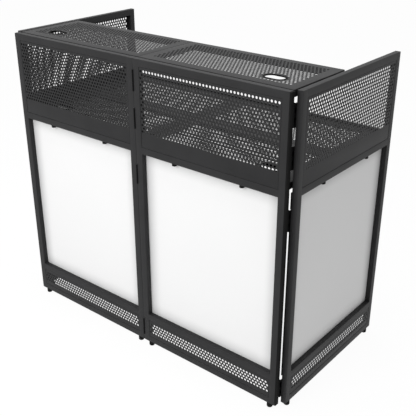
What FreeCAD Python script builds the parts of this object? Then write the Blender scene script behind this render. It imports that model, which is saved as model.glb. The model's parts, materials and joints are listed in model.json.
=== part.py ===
"""Folding booth for a disc jockey.

Four steel panels are hinged side by side: two in front and a wing at each end. Each panel is a frame of
rectangular tube with a perforated sheet at its top, a white fabric scrim in its window and a perforated
kick sheet at its foot. A shelf of two folded trays of perforated sheet and a work table of four lie on
ledges behind the panels, their meeting flanges held by clips. Lengths are in millimetres, X runs along the
front, Y towards the back and Z up.
"""

import FreeCAD
import Part
import math
import os

Vector = FreeCAD.Vector

# Panels
front_panel_width = 622.0
wing_width = 618.0
panel_height = 1130.0
panel_depth = 20.0
window_top_drop = 335.0
kick_height = 127.0

# Tube of the frames
tube_face = 25.0
tube_wall = 1.5
stile_corner_chamfer = 1.5
vent_height = 10.0

# Perforated sheets in the frames
panel_sheet = 1.5
panel_sheet_setback = 1.0
panel_sheet_return = 12.0
panel_sheet_fit = 0.2

# Perforation, with one six-sided opening for each cluster of the sheet's small round holes
panel_opening_pitch = 67.5
panel_opening_width = 43.0
panel_mesh_height = 219.0
panel_mesh_top_margin = 9.0
panel_mesh_side_margin = 5.0
kick_mesh_height = 46.0
tray_opening_pitch = 108.0
tray_opening_width = 64.0

# Hinges, three lines of four, with ten-sided barrels on round pins
top_hinge_drop = 75.0
second_hinge_drop = 209.0
third_hinge_below_window_top = 82.0
lowest_hinge_rise = 62.0
hinge_length = 75.0
barrel_sides = 10
barrel_radius = 3.0
pin_radius = 1.6
pin_running_clearance = 0.05
knuckle_gap = 0.4
leaf_thickness = 2.0
leaf_reach = 20.0
leaf_barrel_clearance = 0.3
centre_pin_proud = 0.5
centre_barrel_side_clearance = 0.2
centre_edge_clearance = 0.4
hinge_notch_clearance = 0.5
wing_edge_gap = 12.0

# Scrims, the tape that grips their borders and the pegs above them
scrim_thickness = 1.2
scrim_overlap = 4.0
scrim_clearance = 0.3
tape_thickness = 4.2
tape_edge_inset = 0.3
tape_corner_overhang = 1.3
tape_end_reach = 12.0
tape_scrim_gap = 0.3
tape_hinge_clearance = 0.5
peg_sides = 16
peg_radius = 9.0
peg_height = 10.0
peg_spacing = 286.0

# Rubber strips on the corner sides of the front panels
strip_thickness = 4.2
strip_edge_inset = 1.0
strip_end_inset = 1.0
strip_chamfer = 0.8

# Feet
foot_height = 20.0
foot_radius = 11.0
foot_inset = 26.0
foot_front_inset = 0.1

# Trays of the shelf and the work table
tray_sheet = 1.5
tray_flange = 23.0
tray_edge_chamfer = 1.0
tray_front_gap = 4.0
tray_joint_gap = 0.6
tray_front_margin = 42.0
shelf_front_gap = 7.5
shelf_depth = 288.5
shelf_span_flange = 31.0
shelf_end_gap = 8.0
shelf_margin = 30.0
table_above_window = 41.0
table_end_gap = 13.0
table_back_inset = 2.0
table_margin = 42.0
table_bar_depth = 14.0
table_bar_rise = 7.5
table_bar_gap = 0.3

# Cable slots in the shelf and the table
slot_length = 80.0
slot_width = 50.0
slot_end_sides = 6
slot_rim = 5.0
slot_rim_depth = 4.0
slot_fit = 0.2
slot_centre_from_shelf_end = 120.2
slot_centre_from_front = 82.0

# Clips that grip two meeting flanges
clip_length = 40.0
clip_height = 15.0
clip_wall = 1.2
clip_fit = 0.2
clip_spacing = 150.0
cross_clip_spacing = 220.0

# Ledges under the shelf and the table
ledge_width = 20.0
ledge_thickness = 3.0
ledge_seat_clearance = 0.3
front_ledge_end_gap = 13.0
wing_ledge_front_gap = 34.0
wing_ledge_back_gap = 8.0

# Overrun of every cut past the faces that it opens
overrun = 1.0

# Shares
row_share = math.sqrt(3) / 2
half_share = 0.5

# Places that follow from the sizes above
centre_gap = 2 * (barrel_radius + centre_barrel_side_clearance)
edge_bar = centre_gap / 2 - centre_edge_clearance
hinge_notch = hinge_length + 2 * hinge_notch_clearance
front_end = centre_gap / 2 + front_panel_width
barrel_offset = barrel_radius + leaf_thickness
wing_inner = front_end + barrel_offset
wing_outer = wing_inner + panel_depth
wing_front = panel_depth + wing_edge_gap
wing_back = wing_front + wing_width
foremost = -centre_pin_proud - barrel_radius
mid_depth = (wing_back + foremost) / 2
panel_top = foot_height + panel_height
hinge_drops = (
    top_hinge_drop,
    second_hinge_drop,
    window_top_drop + third_hinge_below_window_top,
    panel_height - lowest_hinge_rise,
)
tray_front = panel_depth + tray_front_gap
shelf_half_width = wing_inner - shelf_end_gap
table_half_width = wing_inner - table_end_gap
shelf_front = panel_depth + shelf_front_gap
shelf_back = shelf_front + shelf_depth
table_back = wing_back - table_back_inset
table_tray_back = table_back - table_bar_depth - table_bar_gap
table_middle = (tray_front + table_tray_back) / 2
table_drop = window_top_drop - table_above_window
table_top = panel_top - table_drop
slot_centre_x = shelf_half_width - slot_centre_from_shelf_end
slot_y = tray_front + slot_centre_from_front
mesh_panel_top = panel_height - tube_face
mesh_panel_bottom = panel_height - window_top_drop + tube_face


def box(x, y, z, size_x, size_y, size_z):
    """A box with its lowest corner at x, y, z."""
    return Part.makeBox(size_x, size_y, size_z, Vector(x, y, z))


def moved(shape, x, y, z, turn=0):
    """A copy of a shape, turned about Z by whole degrees and then moved."""
    copy = shape.copy()
    copy.rotate(Vector(0, 0, 0), Vector(0, 0, 1), turn)
    copy.translate(Vector(x, y, z))
    return copy


def prism(sides, radius, x, y, bottom, height):
    """A prism of that many sides along Z, radius to its corners."""
    corners = []
    for step in range(sides + 1):
        angle = (step + half_share) * 2 * math.pi / sides
        corners.append(Vector(x + radius * math.cos(angle), y + radius * math.sin(angle), bottom))
    return Part.Face(Part.makePolygon(corners)).extrude(Vector(0, 0, height))


def hexagon_prism(x, y, width, bottom, height):
    """A six-sided prism along Z, width across its flats."""
    return prism(6, width / 2 / math.cos(math.pi / 6), x, y, bottom, height)


def stadium_prism(x, y, length, width, bottom, height):
    """A prism along Z whose outline is a slot with rounded ends, its length along X."""
    end = width / 2
    straight = (length - width) / 2
    corners = []
    for side in (1, -1):
        for step in range(slot_end_sides + 1):
            angle = math.pi * (step / slot_end_sides - half_share)
            reach = straight + end * math.cos(angle)
            corners.append(Vector(x + side * reach, y + side * end * math.sin(angle), bottom))
    return Part.Face(Part.makePolygon(corners + corners[:1])).extrude(Vector(0, 0, height))


def staggered_places(low_x, low_y, high_x, high_y, pitch, width):
    """Centres of openings in rows set half a pitch apart, centred in a zone of a sheet."""
    row_gap = pitch * row_share
    rows = int((high_y - low_y - width) / row_gap) + 1
    columns = int((high_x - low_x - width) / pitch) + 1
    middle_x = (low_x + high_x) / 2
    first_y = (low_y + high_y - (rows - 1) * row_gap) / 2
    places = []
    for row in range(rows):
        count = columns - row % 2
        first_x = middle_x - (count - 1) * pitch / 2
        for column in range(count):
            places.append((first_x + column * pitch, first_y + row * row_gap))
    return places


def tray(low_x, low_y, high_x, high_y, depth, sheet, openings, width):
    """A sheet folded down all round, its top face at Z = 0, with six-sided openings."""
    outer = box(low_x, low_y, -depth, high_x - low_x, high_y - low_y, depth)
    inner = box(low_x + sheet, low_y + sheet, -depth - overrun,
                high_x - low_x - 2 * sheet, high_y - low_y - 2 * sheet, depth + overrun - sheet)
    tools = [hexagon_prism(x, y, width, -sheet - overrun, sheet + 2 * overrun) for x, y in openings]
    return outer.cut(inner), Part.makeCompound(tools)


def stiles(width, joint_side):
    """The two upright tubes of a panel, closed at their ends and vented into the lowest rail.

    On the joint side, -1 for low X and 1 for high X, an edge bar closes the middle joint between its hinges.
    """
    pair = []
    for side, low in ((-1, 0), (1, width - tube_face)):
        bar = edge_bar if side == joint_side else 0
        outer_low = low - bar if side < 0 else low
        tube = box(outer_low, 0, 0, tube_face + bar, panel_depth, panel_height)
        upright = [edge for edge in tube.Edges if edge.BoundBox.ZLength > panel_height / 2]
        if bar:
            upright = [edge for edge in upright if 0 < edge.BoundBox.XMin < width]
        tube = tube.makeChamfer(stile_corner_chamfer, upright)
        bore = box(low + tube_wall, tube_wall, tube_wall, tube_face - 2 * tube_wall,
                   panel_depth - 2 * tube_wall, panel_height - 2 * tube_wall)
        inner_wall = tube_face - tube_wall if side < 0 else low
        vent = box(inner_wall - overrun, panel_depth / 2 - vent_height / 2, tube_face / 2 - vent_height / 2,
                   tube_wall + 2 * overrun, vent_height, vent_height)
        tube = tube.cut(bore).cut(vent)
        if bar:
            notch_x = outer_low - overrun if side < 0 else width
            for drop in hinge_drops:
                notch = box(notch_x, -overrun, panel_height - drop - hinge_notch / 2, bar + overrun,
                            panel_depth + 2 * overrun, hinge_notch)
                tube = tube.cut(notch)
        pair.append(tube)
    return Part.makeCompound(pair)


def rails(width):
    """The four cross tubes of a panel, open into the stiles that they are welded to."""
    length = width - 2 * tube_face
    levels = (0, kick_height - tube_face, mesh_panel_bottom - tube_face, mesh_panel_top)
    tubes = []
    for level in levels:
        tube = box(tube_face, 0, level, length, panel_depth, tube_face)
        bore = box(tube_face - overrun, tube_wall, level + tube_wall, length + 2 * overrun,
                   panel_depth - 2 * tube_wall, tube_face - 2 * tube_wall)
        tubes.append(tube.cut(bore))
    return Part.makeCompound(tubes)


def framed_sheet(width, bottom, top, mesh_low, mesh_high):
    """A perforated sheet with folded edges, set a little back in the frame between two rails."""
    low_x = tube_face + panel_sheet_fit
    high_x = width - low_x
    low_z = bottom + panel_sheet_fit
    high_z = top - panel_sheet_fit
    openings = staggered_places(low_x + panel_mesh_side_margin, mesh_low, high_x - panel_mesh_side_margin,
                                mesh_high, panel_opening_pitch, panel_opening_width)
    shell, tools = tray(low_x, low_z, high_x, high_z, panel_sheet_return, panel_sheet, openings,
                        panel_opening_width)
    sheet = shell.cut(tools)
    sheet.rotate(Vector(0, 0, 0), Vector(1, 0, 0), 90)
    sheet.translate(Vector(0, panel_sheet_setback, 0))
    return sheet


def mesh_panel(width):
    """The perforated sheet behind the top of a panel."""
    mesh_high = mesh_panel_top - panel_mesh_top_margin
    return framed_sheet(width, mesh_panel_bottom, mesh_panel_top, mesh_high - panel_mesh_height, mesh_high)


def kick_panel(width):
    """The perforated sheet at the foot of a panel."""
    middle = kick_height / 2
    return framed_sheet(width, tube_face, kick_height - tube_face,
                        middle - kick_mesh_height / 2, middle + kick_mesh_height / 2)


def scrim(width):
    """The taut fabric on the back of a panel's window."""
    side = tube_face - scrim_overlap
    bottom = kick_height - scrim_overlap
    top = panel_height - window_top_drop + scrim_overlap
    return box(side, panel_depth + scrim_clearance, bottom, width - 2 * side, scrim_thickness, top - bottom)


def scrim_tape(width, corner_side, corner_gap):
    """The band round a scrim on the back of a panel, open at the hinge on the corner side."""
    side = tube_face - scrim_overlap - tape_scrim_gap
    bottom = kick_height - scrim_overlap - tape_scrim_gap
    top = panel_height - window_top_drop + scrim_overlap + tape_scrim_gap
    low = kick_height - tape_end_reach
    high = panel_height - window_top_drop + tape_end_reach
    level = panel_depth + scrim_clearance
    start = corner_gap if corner_side < 0 else tape_edge_inset
    length = width - corner_gap - tape_edge_inset
    band = box(start, level, low, length, tape_thickness, high - low)
    window = box(side, level - overrun, bottom, width - 2 * side, tape_thickness + 2 * overrun, top - bottom)
    notch_height = hinge_length + 2 * tape_hinge_clearance
    notch_reach = tube_face + tape_corner_overhang + overrun
    notch_x = width - tube_face if corner_side > 0 else tube_face - notch_reach
    notches = []
    for drop in hinge_drops:
        notches.append(box(notch_x, level - overrun, panel_height - drop - notch_height / 2, notch_reach,
                           tape_thickness + 2 * overrun, notch_height))
    return band.cut([window] + notches)


def edge_strip(width, corner_side):
    """The rubber strip on the corner side of a front panel, its outer edges chamfered."""
    start = width if corner_side > 0 else -strip_thickness
    strip = box(start, strip_edge_inset, strip_end_inset, strip_thickness, panel_depth - 2 * strip_edge_inset,
                panel_height - 2 * strip_end_inset)
    middle = start + strip_thickness / 2
    outer_edges = []
    for edge in strip.Edges:
        if edge.BoundBox.ZLength > panel_depth and corner_side * (edge.BoundBox.XMin - middle) > 0:
            outer_edges.append(edge)
    return strip.makeChamfer(strip_chamfer, outer_edges)


def scrim_pegs(width):
    """Two rubber pegs under the rail above the window."""
    level = panel_height - window_top_drop - peg_height
    pegs = []
    for side in (-1, 1):
        middle = width / 2 + side * peg_spacing / 2
        pegs.append(prism(peg_sides, peg_radius, middle, panel_depth / 2, level, peg_height))
    return Part.makeCompound(pegs)


def feet(width):
    """Two round rubber feet under the lowest rail, clear of the front so that the panels fold face to face."""
    pair = []
    for middle in (foot_inset, width - foot_inset):
        centre = Vector(middle, foot_front_inset + foot_radius, -foot_height)
        pair.append(Part.makeCylinder(foot_radius, foot_height, centre))
    return Part.makeCompound(pair)


def ledges(shelf_span, table_span):
    """Two flat bars across the back of a panel, one under the shelf's flange and one under the table's."""
    bars = []
    for drop, (start, end) in ((0, shelf_span), (table_drop, table_span)):
        seat = panel_height - drop - tray_flange - ledge_seat_clearance
        bars.append(box(start, panel_depth, seat - ledge_thickness, end - start, ledge_width,
                        ledge_thickness))
    return Part.makeCompound(bars)


def leaf(side, face, low, high):
    """One hinge leaf about the Z axis: its plate lies along +X against a face at Y = side * face."""
    plate_y = min(side * face, side * (face - leaf_thickness))
    plate_start = barrel_radius + leaf_barrel_clearance
    plate = box(plate_start, plate_y, -hinge_length / 2, leaf_reach - plate_start, leaf_thickness,
                hinge_length)
    web = box(0, min(0, side * face), low, plate_start + leaf_thickness, face, high - low)
    knuckle = prism(barrel_sides, barrel_radius, 0, 0, low, high - low)
    bore_radius = (pin_radius + pin_running_clearance) / math.cos(math.pi / barrel_sides)
    bore = prism(barrel_sides, bore_radius, 0, 0, low - overrun, high - low + 2 * overrun)
    solid = plate.fuse(web).fuse(knuckle).cut(bore)
    return solid.removeSplitter()


def lower_leaf(side, face):
    """The leaf whose knuckle is the lower half of the barrel."""
    return leaf(side, face, -hinge_length / 2, -knuckle_gap / 2)


def upper_leaf(side, face):
    """The leaf whose knuckle is the upper half of the barrel."""
    return leaf(side, face, knuckle_gap / 2, hinge_length / 2)


def along_hinge_line(shape, x, y, turn):
    """Copies of one hinge piece at every hinge of a line."""
    return Part.makeCompound([moved(shape, x, y, panel_top - drop, turn) for drop in hinge_drops])


def hinge_pin():
    """The pin through both knuckles of a hinge."""
    return Part.makeCylinder(pin_radius, hinge_length, Vector(0, 0, -hinge_length / 2))


def perforated_tray(low_x, low_y, high_x, high_y, margin, slot_x, level, skirts=()):
    """One tray of the shelf or the table, its top at a level, with a cable slot where slot_x is not None."""
    places = staggered_places(low_x + margin, low_y + tray_front_margin, high_x - margin, high_y - margin,
                              tray_opening_pitch, tray_opening_width)
    if slot_x is not None:
        clear_x = (slot_length + tray_opening_width) / 2
        clear_y = (slot_width + tray_opening_width) / 2
        places = [(x, y) for x, y in places if abs(x - slot_x) > clear_x or abs(y - slot_y) > clear_y]
    shell, tools = tray(low_x, low_y, high_x, high_y, tray_flange, tray_sheet, places, tray_opening_width)
    top_edges = [edge for edge in shell.Edges if edge.BoundBox.ZMin > -tray_sheet / 2]
    shell = shell.makeChamfer(tray_edge_chamfer, top_edges)
    if slot_x is not None:
        slot = stadium_prism(slot_x, slot_y, slot_length + 2 * slot_fit, slot_width + 2 * slot_fit,
                             -tray_sheet - overrun, tray_sheet + 2 * overrun)
        shell = shell.cut(slot)
    for skirt in skirts:
        shell = shell.fuse(skirt)
    return moved(shell.cut(tools).removeSplitter(), 0, 0, level)


def shelf_skirts(low_x, high_x, side):
    """The deeper parts of a shelf tray's back and joint flanges, which span without a ledge under them."""
    drop = shelf_span_flange - tray_flange
    joint_x = low_x if side > 0 else high_x - tray_sheet
    back = box(low_x, shelf_back - tray_sheet, -shelf_span_flange, high_x - low_x, tray_sheet, drop)
    joint = box(joint_x, shelf_front, -shelf_span_flange, tray_sheet, shelf_depth, drop)
    return back, joint


def slot_rims(level):
    """The two plastic rims of a pair of cable slots, through the sheet and level with its top."""
    rims = []
    for side in (-1, 1):
        x = side * slot_centre_x
        outer = stadium_prism(x, slot_y, slot_length, slot_width, -slot_rim_depth, slot_rim_depth)
        opening = stadium_prism(x, slot_y, slot_length - 2 * slot_rim, slot_width - 2 * slot_rim,
                                -slot_rim_depth - overrun, slot_rim_depth + 2 * overrun)
        rims.append(moved(outer.cut(opening), 0, 0, level))
    return Part.makeCompound(rims)


def tray_clip(x, y, level, turn, flange):
    """A clip pushed up over two meeting flanges, their joint along Y unless turned."""
    inside = 2 * tray_sheet + tray_joint_gap + 2 * clip_fit
    floor = -flange - clip_fit
    outer = box(-inside / 2 - clip_wall, -clip_length / 2, floor - clip_wall, inside + 2 * clip_wall,
                clip_length, clip_height)
    groove = box(-inside / 2, -clip_length / 2 - overrun, floor, inside, clip_length + 2 * overrun,
                 clip_height)
    return moved(outer.cut(groove), x, y, level, turn)


def shelf_clips():
    """The two clips of the shelf's joint."""
    middle = (shelf_front + shelf_back) / 2
    places = [middle + side * clip_spacing / 2 for side in (-1, 1)]
    return Part.makeCompound([tray_clip(0, y, panel_top, 0, shelf_span_flange) for y in places])


def table_clips():
    """The clips of the table's joints, two to each meeting of two trays."""
    clips = []
    for row_middle in ((tray_front + table_middle) / 2, (table_middle + table_tray_back) / 2):
        for side in (-1, 1):
            clips.append(tray_clip(0, row_middle + side * clip_spacing / 2, table_top, 0, tray_flange))
    for tray_side in (-1, 1):
        for side in (-1, 1):
            x = tray_side * table_half_width / 2 + side * cross_clip_spacing / 2
            clips.append(tray_clip(x, table_middle, table_top, 90, tray_flange))
    return Part.makeCompound(clips)


def table_bar(low_x, high_x):
    """The tube behind one back tray of the table, which stands a little above the sheet."""
    height = tray_flange + table_bar_rise
    outer = box(low_x, 0, -tray_flange, high_x - low_x, table_bar_depth, height)
    top_edges = [edge for edge in outer.Edges if edge.BoundBox.ZMin > table_bar_rise / 2]
    outer = outer.makeChamfer(tray_edge_chamfer, top_edges)
    bore = box(low_x - overrun, tube_wall, tube_wall - tray_flange, high_x - low_x + 2 * overrun,
               table_bar_depth - 2 * tube_wall, height - 2 * tube_wall)
    return moved(outer.cut(bore), 0, table_back - table_bar_depth, table_top)


def tray_pieces():
    """The trays of the shelf and of the table, with their rims, clips and edge bars."""
    joint = tray_joint_gap / 2
    pieces = {}
    bars = []
    for name, side in (("left", -1), ("right", 1)):
        slot_x = side * slot_centre_x
        low, high = sorted((side * joint, side * shelf_half_width))
        pieces[f"shelf_{name}_tray"] = perforated_tray(low, shelf_front, high, shelf_back, shelf_margin,
                                                       slot_x, panel_top, shelf_skirts(low, high, side))
        low, high = sorted((side * joint, side * table_half_width))
        pieces[f"table_{name}_front_tray"] = perforated_tray(low, tray_front, high, table_middle - joint,
                                                             table_margin, slot_x, table_top)
        pieces[f"table_{name}_back_tray"] = perforated_tray(low, table_middle + joint, high, table_tray_back,
                                                            table_margin, None, table_top)
        bars.append(table_bar(low, high))
    pieces["shelf_slot_rims"] = slot_rims(panel_top)
    pieces["shelf_clips"] = shelf_clips()
    pieces["table_slot_rims"] = slot_rims(table_top)
    pieces["table_clips"] = table_clips()
    pieces["table_bars"] = Part.makeCompound(bars)
    return pieces


def panel_pieces(width, joint_side, corner_side, ledge_spans):
    """Every piece that rides on one panel, in the panel's own frame."""
    corner_gap = -tape_corner_overhang if joint_side else tape_edge_inset
    pieces = {
        "stiles": stiles(width, joint_side),
        "rails": rails(width),
        "mesh_panel": mesh_panel(width),
        "kick_panel": kick_panel(width),
        "scrim": scrim(width),
        "scrim_tape": scrim_tape(width, corner_side, corner_gap),
        "scrim_pegs": scrim_pegs(width),
        "feet": feet(width),
        "ledges": ledges(*ledge_spans),
    }
    if joint_side:
        pieces["edge_strip"] = edge_strip(width, corner_side)
    return pieces


def all_pieces():
    """Every named piece of the booth, with the front faces of the front panels at Y = 0."""
    front_span = (front_ledge_end_gap, front_panel_width - front_ledge_end_gap)
    wing_spans = []
    for back in (shelf_back, table_back):
        wing_spans.append((wing_ledge_front_gap, back - wing_front - wing_ledge_back_gap))
    mirrored_spans = [(wing_width - end, wing_width - start) for start, end in wing_spans]
    panels = {
        "left_front": (front_panel_width, 1, -1, [front_span, front_span], -front_end, 0, 0),
        "right_front": (front_panel_width, -1, 1, [front_span, front_span], centre_gap / 2, 0, 0),
        "left_wing": (wing_width, 0, 1, mirrored_spans, -wing_outer, wing_back, -90),
        "right_wing": (wing_width, 0, -1, wing_spans, wing_outer, wing_front, 90),
    }
    pieces = {}
    for panel, (width, joint_side, corner_side, ledge_spans, x, y, turn) in panels.items():
        for name, shape in panel_pieces(width, joint_side, corner_side, ledge_spans).items():
            pieces[f"{panel}_{name}"] = moved(shape, x, y, foot_height, turn)

    end_face = centre_gap / 2
    corner_y = panel_depth + barrel_offset
    centre_y = -centre_pin_proud
    for name, leaf_shape, x, y, turn in (
        ("centre_hinge_left_leaves", lower_leaf(1, end_face), 0, centre_y, 90),
        ("centre_hinge_right_leaves", upper_leaf(-1, end_face), 0, centre_y, 90),
        ("centre_hinge_pins", hinge_pin(), 0, centre_y, 0),
        ("right_hinge_front_leaves", lower_leaf(1, barrel_offset), front_end, corner_y, 180),
        ("right_hinge_wing_leaves", upper_leaf(-1, barrel_offset), front_end, corner_y, 90),
        ("right_hinge_pins", hinge_pin(), front_end, corner_y, 0),
        ("left_hinge_front_leaves", lower_leaf(-1, barrel_offset), -front_end, corner_y, 0),
        ("left_hinge_wing_leaves", upper_leaf(1, barrel_offset), -front_end, corner_y, 90),
        ("left_hinge_pins", hinge_pin(), -front_end, corner_y, 0),
    ):
        pieces[name] = along_hinge_line(leaf_shape, x, y, turn)
    pieces.update(tray_pieces())
    return pieces


os.makedirs("parts", exist_ok=True)
for node, shape in all_pieces().items():
    moved(shape, 0, -mid_depth, 0).exportStep(f"parts/{node}.step")
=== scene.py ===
"""Looks of the folding dj booth: sheets, frames, hinges, scrims, feet, finishes, light and camera."""

import json
import math

import bmesh
import bpy
from mathutils import Matrix, Vector

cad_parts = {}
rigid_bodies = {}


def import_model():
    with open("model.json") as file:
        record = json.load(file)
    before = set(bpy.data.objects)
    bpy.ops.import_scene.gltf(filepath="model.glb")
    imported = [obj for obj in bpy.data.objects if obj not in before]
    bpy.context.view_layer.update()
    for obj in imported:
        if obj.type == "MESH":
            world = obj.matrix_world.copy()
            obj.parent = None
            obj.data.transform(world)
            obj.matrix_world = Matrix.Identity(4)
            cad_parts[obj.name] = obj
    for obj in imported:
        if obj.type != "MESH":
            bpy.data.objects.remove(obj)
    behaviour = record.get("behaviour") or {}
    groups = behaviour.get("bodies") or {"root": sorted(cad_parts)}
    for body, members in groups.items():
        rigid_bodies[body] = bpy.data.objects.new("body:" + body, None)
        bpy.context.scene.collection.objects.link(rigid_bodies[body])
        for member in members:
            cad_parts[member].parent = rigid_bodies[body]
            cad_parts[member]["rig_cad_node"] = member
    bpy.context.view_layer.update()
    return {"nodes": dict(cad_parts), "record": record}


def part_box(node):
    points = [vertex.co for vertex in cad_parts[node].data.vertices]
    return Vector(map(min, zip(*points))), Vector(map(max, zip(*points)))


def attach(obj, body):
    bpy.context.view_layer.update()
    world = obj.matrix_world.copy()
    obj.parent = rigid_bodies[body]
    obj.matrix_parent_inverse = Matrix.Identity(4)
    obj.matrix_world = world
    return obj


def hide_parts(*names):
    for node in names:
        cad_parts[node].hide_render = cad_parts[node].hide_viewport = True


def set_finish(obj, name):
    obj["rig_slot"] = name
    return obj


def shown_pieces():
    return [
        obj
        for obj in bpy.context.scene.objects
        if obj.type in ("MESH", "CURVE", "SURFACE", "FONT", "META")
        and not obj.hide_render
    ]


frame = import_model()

# Perforation, in metres like every length here
PITCH = 0.01355
ROW_GAP = PITCH * math.sqrt(3) / 2
PANEL_HOLE, TRAY_HOLE = 0.0044, 0.0047
HOLE_SIDES = 12
CELL_POINTS = 6
FIRST_HOLE_ANGLE = math.radians(210)
CELL_EDGE = 0.0003
MERGE_DIGITS = 6
SLOT_HOLE_CLEARANCE = 0.0095
FRONT_COLUMNS, WING_COLUMNS = 42, 41
PATTERN_SHIFTS = {"right_front": -0.0012, "left_wing": -0.0015, "right_wing": 0.0025}
MESH_ROWS = 19
MESH_TOP_ROW_DROP = 0.0385
KICK_ROWS = 4
KICK_FIRST_ROW = 0.049
SHELF_COLUMNS, SHELF_ROWS, SHELF_FIRST_ROW = 41, 19, 0.0425
TABLE_COLUMNS, TABLE_ROWS, TABLE_FIRST_ROW = 39, 20, 0.041

# Sheets and tubes
SHEET, TRAY_SHEET = 0.0015, 0.0013
PANEL_BEND = 0.0018
TRAY_BEND = 0.0018
SHEET_SETBACK = 0.0006
SHEET_FIT = 0.0002
SHEET_RETURN = 0.012
TRAY_FLANGE = 0.023
TRAY_JOINT = 0.0003
SKIRT_RADIUS = 0.0004
TUBE_FACE = 0.025
TUBE_DEPTH = 0.020
TUBE_RADIUS = 0.0011
JOINT_RADIUS = 0.0004
END_BEVEL = 0.0006
RAIL_INSET = 0.0012
KICK_HEIGHT = 0.127
WINDOW_TOP_DROP = 0.335
EDGE_BAR = 0.0028
HINGE_DROPS = (0.075, 0.209, 0.417, 1.068)
WINDOW_HINGE_DROP = HINGE_DROPS[2]
HINGE_NOTCH = 0.076
SHARP_ANGLE = math.radians(35)

# Hinges, with shares of a knuckle's outline and of a screw head's radius and height
BARREL_RADIUS = 0.003
PIN_RADIUS = 0.0016
PIN_SIDES = 20
PIN_HEAD = ((0, 0.0004), (0.0012, 0.0004), (0.0021, 0.0002), (0.0022, 0))
HINGE_LENGTH = 0.075
KNUCKLES = 5
KNUCKLE_GAP = 0.0003
KNUCKLE_BEVEL = 0.0003
KNUCKLE_END_SHARE = 0.92
KNUCKLE_MIDDLE = Vector((0.001, 0.001, 0))
WEB_START = 0.0004
CURL_SHIFT = 0.0005
LEAF = 0.0019
CENTRE_LEAF_START = 0.0033
CORNER_LEAF_START = 0.0003
LEAF_CURL = 0.0053
LEAF_REACH = 0.020
LEAF_CORNER = 0.004
LEAF_BEVEL = 0.0003
SCREW_HEIGHTS = (-0.026, 0, 0.026)
SCREW_PLACE = 0.0125
SCREW_PROUD = 0.0009
SCREW_HEAD, SCREW_SOCKET = 0.0034, 0.0013
SCREW_SIDES = 24
SCREW_DOME_SHARES = ((1, 0), (1, 0.35), (0.86, 0.75), (0.6, 1))
SCREW_FLOOR_SHARE = 0.2
CENTRE_AXIS_Y = -0.0005
CORNER_AXIS_Y = 0.025
CENTRE_FACE = 0.0032
CORNER_FACE = 0.005

# Scrims, with shares of the hem's thickness and of a stitch's size
SCRIM_SIDE = 0.021
SCRIM_FRONT = 0.0203
SCRIM_CLOTH = 0.0005
HEM_WIDTH = 0.018
HEM_BACK = 0.0214
HEM_EDGE_SHARE, HEM_ROUND_SHARE, HEM_INNER_SHARE = 0.6, 0.4, 0.3
STITCH_PITCH, STITCH_LENGTH = 0.0052, 0.0034
STITCH_HALF, STITCH_LIFT = 0.0004, 0.0004
STITCH_INSET = 0.004
STITCH_SINK = 0.0001
STITCH_SECTION_SHARES = ((-1, 0.4), (-0.6, 1), (0.6, 1), (1, 0.4))
STITCH_CROWN_SHARE = 0.6
TAPE_EDGE = 0.0003
TAPE_INNER = 0.0245
TAPE_FRONT = 0.0203
TAPE_BACK = 0.0245
TAPE_OVERHANG = 0.0016
TAPE_RADIUS = 0.0009
TAPE_REACH = 0.012
TAPE_NOTCH = 0.076

# Rubber pieces and slot rims; profiles are (radius, height), the rim's (offset from the slot's edge, height)
# The edge strip is painted shade: a black strip on the corner side of each front panel, put where the stile's
# side lies in shadow
EDGE_STRIP = 0.0042
EDGE_STRIP_MARGIN = 0.0010
EDGE_STRIP_RADIUS = 0.0008
PEG_SPACING = 0.286
PEG_PROFILE = ((0, -0.0100), (0.0062, -0.0100), (0.0077, -0.0096), (0.0086, -0.0087), (0.0089, -0.0074),
               (0.0089, -0.0004), (0.0087, -0.0001), (0, -0.0001))
FOOT_INSET = 0.026
FOOT_DEPTH = 0.0111
FOOT_PROFILE = ((0, 0), (0.0080, 0), (0.0093, 0.0005), (0.0104, 0.0018), (0.0108, 0.0035), (0.0108, 0.0150),
                (0.0104, 0.0157), (0.0104, 0.0163), (0.0109, 0.0170), (0.0109, 0.0194), (0.0105, 0.0199),
                (0, 0.0199))
RIM_HALF_STRAIGHT = 0.015
RIM_RADIUS = 0.025
RIM_PROFILE = ((0.0016, 0), (0.0015, 0.0005), (0.0009, 0.0010), (-0.0030, 0.0012), (-0.0043, 0.0009),
               (-0.0049, 0.0001), (-0.0050, -0.0014), (-0.0050, -0.0026), (-0.0046, -0.0030),
               (-0.0006, -0.0030), (-0.0002, -0.0026), (-0.0002, 0))

# Finishes: name, colour, roughness, specular level, grain, grain scale and spread of tone for each slot
FINISHES = {
    "frame_steel": ("frame_powder_coat", (0.0235, 0.0235, 0.0243), 0.50, 0.18, 0.06, 900, 0.14),
    "sheet_steel": ("sheet_powder_coat", (0.0205, 0.0205, 0.0213), 0.50, 0.19, 0.06, 900, 0.14),
    # The hinges' own black, made darker still as painted shade for the shadowed centre hinge slots
    "hinge_steel": ("hinge_black", (0.004, 0.004, 0.0042), 0.50, 0.08, 0.05, 900, 0.12),
    "pin_steel": ("pin_drawn_steel", (0.10, 0.10, 0.103), 0.40, 0.3, 0.04, 700, 0.12),
    "clip_steel": ("clip_black", (0.016, 0.016, 0.017), 0.45, 0.5, 0.05, 900, 0.12),
    "tape_fabric": ("tape_black_nylon", (0.006, 0.006, 0.006), 0.85, 0.1, 0.4, 1400, 0.25),
    "foot_rubber": ("rubber_black", (0.005, 0.005, 0.005), 0.65, 0.12, 0.12, 700, 0.2),
    "rim_plastic": ("rim_plastic_black", (0.004, 0.004, 0.004), 0.60, 0.05, 0.06, 900, 0.15),
}
PEBBLE_DETAIL = 3
PATCH_SCALE, PATCH_DETAIL = 9, 4
PATCH_STOPS = (0.3, 0.75)
SHEEN_FALL, SHEEN_RISE = 0.05, 0.07
PEBBLE_DEPTH = 0.0004
KNIT_TONES = (0.88, 0.93)
KNIT_ROUGHNESS, KNIT_SPECULAR = 0.85, 0.2
RIB_SCALE, RIB_DISTORTION = 260, 0.6
RIB_BUMP, RIB_DEPTH = 0.12, 0.0003
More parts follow.
